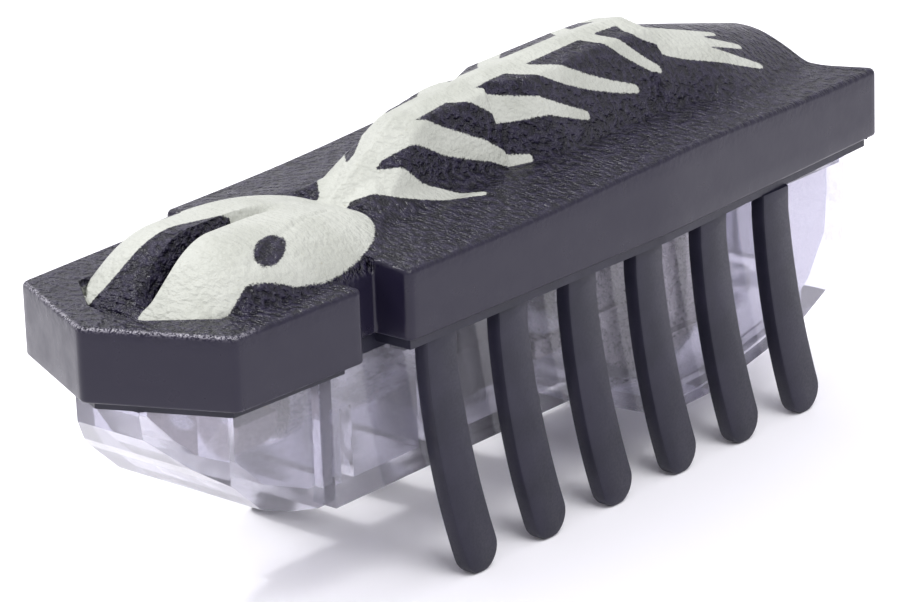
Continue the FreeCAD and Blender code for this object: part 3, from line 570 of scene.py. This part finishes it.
def ordered_border(work):
    """The border's vertices in order, anticlockwise from above."""
    open_edges = [edge for edge in work.edges if edge.is_boundary]
    at = {}
    for edge in open_edges:
        for vert in edge.verts:
            at.setdefault(vert, []).append(edge)
    start = open_edges[0].verts[0]
    border, edge = [start], open_edges[0]
    vert = edge.other_vert(start)
    while vert is not start:
        border.append(vert)
        edge = next(other for other in at[vert] if other is not edge)
        vert = edge.other_vert(vert)
    area = sum(a.co.x * b.co.y - b.co.x * a.co.y for a, b in zip(border, border[1:] + border[:1]))
    return border if area > 0 else border[::-1]


# ---- legs ------------------------------------------------------------------------------------
def arc_points(start, end, radius, count):
    """Points of the arc from start to end; its centre is on the left if radius > 0."""
    start, end = np.array(start, float), np.array(end, float)
    chord = end - start
    middle = (start + end) / 2
    left = np.array([-chord[1], chord[0]]) / np.linalg.norm(chord)
    reach = math.sqrt(radius ** 2 - (np.linalg.norm(chord) / 2) ** 2) * math.copysign(1, radius)
    centre = middle + left * reach
    first = math.atan2(*(start - centre)[::-1])
    turn = math.atan2(*(end - centre)[::-1]) - first
    turn = (turn + math.pi) % (2 * math.pi) - math.pi
    return [centre + abs(radius) * np.array([math.cos(first + turn * i / count),
                                             math.sin(first + turn * i / count)])
            for i in range(count + 1)]


def leg_profile():
    """Side view of the front leg, x and z, anticlockwise seen from +Y."""
    tip = np.array([LEG_FRONT_X - LEG_TIP_BACK, LEG_TIP_Z])
    lean = math.radians(LEG_TIP_LEAN)
    ahead = np.array([math.cos(lean), math.sin(lean)])
    front = (LEG_FRONT_X, LEG_HINGE_Z)
    rear = (LEG_FRONT_X - LEG_WIDTH, LEG_HINGE_Z)
    top = [(LEG_FRONT_X, LEG_HINGE_Z + rise) for rise in LEG_TOP]
    points = [np.array(point) for point in top[::-1]]
    points += arc_points(front, tip + ahead * LEG_TIP_R, LEG_FRONT_BEND, 26)
    for angle in np.linspace(lean, lean - math.pi, 15)[1:-1]:
        spot = tip + LEG_TIP_R * np.array([math.cos(angle), math.sin(angle)])
        points.append(np.array([spot[0], max(spot[1], 0.0)]))
    points += arc_points(tip - ahead * LEG_TIP_R, rear, LEG_REAR_BEND, 26)
    points += [np.array((x - LEG_WIDTH, z)) for x, z in top]
    return np.array(points)[::-1]


def make_leg(side, index, finish):
    profile = leg_profile() - (LEG_PITCH * index, 0)
    inner_y = LEG_OUTER_Y - LEG_THICK
    near = LEG_EDGE * 0.3
    layers = [(inner_y, LEG_EDGE), (inner_y + near, near), (inner_y + LEG_EDGE, 0.0),
              (LEG_OUTER_Y - LEG_EDGE, 0.0), (LEG_OUTER_Y - near, near), (LEG_OUTER_Y, LEG_EDGE)]
    points, faces = [], []
    for y, depth in layers:
        for x, z in inset(profile[::-1], -depth * outline_turn(profile[::-1])):
            points.append((x, y * side, max(z, 0.0)))
    count = len(profile)
    for layer in range(len(layers) - 1):
        for i in range(count):
            j = (i + 1) % count
            faces.append((layer * count + i, layer * count + j,
                          (layer + 1) * count + j, (layer + 1) * count + i))
    faces.append(range(count))
    faces.append(range(count * (len(layers) - 1), count * len(layers)))
    name = f"leg_{'left' if side > 0 else 'right'}_{index + 1}"
    leg = mesh_object("rubber_" + name, points, faces, 35)
    paint(leg, finish)
    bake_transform(leg)
    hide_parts(name)


def outline_turn(points):
    """-1 for an anticlockwise outline and 1 for a clockwise one."""
    x, y = points[:, 0], points[:, 1]
    return -float(np.sign((x * np.roll(y, -1) - np.roll(x, -1) * y).sum()))


# ---- carried-over CAD nodes ------------------------------------------------------------------
def soften(obj, width):
    """Rounds a CAD node's edges in the visual model only."""
    bevel = obj.modifiers.new("edges", "BEVEL")
    bevel.width = width * MM
    bevel.segments = 2
    bevel.limit_method = "ANGLE"
    bevel.angle_limit = math.radians(35)
    bevel.harden_normals = True


def finish_cad_nodes(rubber):
    steel = metal_finish("bright_steel", (0.55, 0.55, 0.56), (0.70, 0.70, 0.71), 0.28, (0.3, 1, 1))
    nickel = metal_finish("nickel", (0.52, 0.50, 0.47), (0.66, 0.64, 0.61), 0.30, (1, 0.3, 1))
    brass = metal_finish("brass", (0.55, 0.40, 0.18), (0.68, 0.52, 0.26), 0.32)
    tungsten = metal_finish("tungsten", (0.36, 0.33, 0.32), (0.46, 0.43, 0.41), 0.45)
    copper = metal_finish("copper", (0.60, 0.30, 0.18), (0.76, 0.42, 0.27), 0.35, (0.3, 1, 1))
    magnet = metal_finish("magnet_grey", (0.20, 0.20, 0.21), (0.28, 0.28, 0.29), 0.5)
    seal = plastic_finish("seal_grey", (0.20, 0.20, 0.21), (0.27, 0.27, 0.28), 0.5)
    nylon = plastic_finish("nylon_white", (0.68, 0.67, 0.63), (0.78, 0.77, 0.73), 0.4)
    black = plastic_finish("switch_black", (0.020, 0.020, 0.022), (0.034, 0.034, 0.036), 0.45)
    red = plastic_finish("lead_red", (0.42, 0.020, 0.016), (0.55, 0.035, 0.028), 0.4)
    dark = plastic_finish("lead_black", (0.014, 0.014, 0.015), (0.024, 0.024, 0.026), 0.4)
    clear = clear_finish()
    finishes = {"leg_frame": (rubber, 0.1), "chassis": (clear, 0.18), "battery_door": (clear, 0.15),
                "door_screw": (steel, 0.06), "battery_can": (steel, 0.15), "battery_seal_ring": (seal, 0.04),
                "battery_cap": (nickel, 0.12), "contact_positive": (nickel, 0.04),
                "contact_negative": (nickel, 0.04), "motor_can": (steel, 0.08),
                "motor_end_bell": (nylon, 0.08), "motor_bush": (brass, 0.04),
                "motor_magnet": (magnet, 0.04), "motor_coil": (copper, 0.05),
                "motor_shaft": (steel, 0.04), "eccentric_weight": (tungsten, 0.12),
                "switch_body": (black, 0.08), "switch_contact": (brass, 0.03),
                "switch_slider": (black, 0.08), "motor_lead_red": (red, 0.0), "motor_lead_black": (dark, 0.0)}
    for node, (finish, width) in finishes.items():
        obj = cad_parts[node]
        paint(obj, finish)
        if width:
            soften(obj, width)


# ---- floor, light and camera -----------------------------------------------------------------
def make_floor():
    reach, rise = 900.0, -0.02
    points = [(x * reach, y * reach, rise) for x, y in ((-1, -1), (1, -1), (1, 1), (-1, 1))]
    floor = mesh_object("studio_floor", points, [(0, 1, 2, 3)])
    nodes = Nodes("paper")
    nodes.set(Base_Color=nodes.mix(nodes.noise(0.02, 2.0), (0.92, 0.91, 0.94, 1), (0.94, 0.93, 0.96, 1)),
              Roughness=0.9, Specular_IOR_Level=0.2)
    paint(floor, nodes)


def area_light(name, place, target, size, power):
    light = bpy.data.lights.new(name, "AREA")
    light.shape = "RECTANGLE"
    light.size, light.size_y = size[0] * MM, size[1] * MM
    light.energy = power
    holder = bpy.data.objects.new(name, light)
    holder.location = Vector(place) * MM
    holder.rotation_euler = (Vector(target) - Vector(place)).to_track_quat("-Z", "Y").to_euler()
    scene.collection.objects.link(holder)


def make_lights():
    world = bpy.data.worlds.new("studio")
    world.use_nodes = True
    world.node_tree.nodes["Background"].inputs["Color"].default_value = (0.95, 0.94, 1.0, 1)
    world.node_tree.nodes["Background"].inputs["Strength"].default_value = 0.95
    scene.world = world
    area_light("key", (90, -300, 370), (0, 0, 8), (260, 200), 1.2)
    area_light("glint", (80, -250, 310), (0, 0, 8), (30, 30), 0.5)
    area_light("fill", (120, 330, 420), (0, 30, 0), (320, 320), 1.85)


def make_camera():
    """The viewing angle of the photograph, at its distance and focal length."""
    azimuth, elevation, roll = (math.radians(angle) for angle in (131.03, 18.83, -2.07))
    back = Vector((math.sin(azimuth) * math.cos(elevation),
                   -math.cos(azimuth) * math.cos(elevation), math.sin(elevation)))
    camera = bpy.data.objects.new("camera", bpy.data.cameras.new("camera"))
    camera.data.sensor_width = 36.0
    camera.data.lens = 184.05
    camera.data.shift_x = -0.0016
    camera.data.shift_y = -0.0676
    camera.data.clip_start = 0.01
    camera.data.clip_end = 10
    camera.rotation_mode = "QUATERNION"
    turn = Matrix.Rotation(roll, 3, back) @ (-back).to_track_quat("-Z", "Y").to_matrix()
    camera.rotation_quaternion = turn.to_quaternion()
    camera.location = Vector((134.45, 117.0, 71.97)) * MM
    scene.collection.objects.link(camera)
    scene.camera = camera


scene.view_settings.view_transform = "Standard"
make_floor()
make_lights()
make_camera()
rubber = rubber_finish()
make_shell()
for side in (1, -1):
    for index in range(LEG_COUNT):
        make_leg(side, index, rubber)
finish_cad_nodes(rubber)
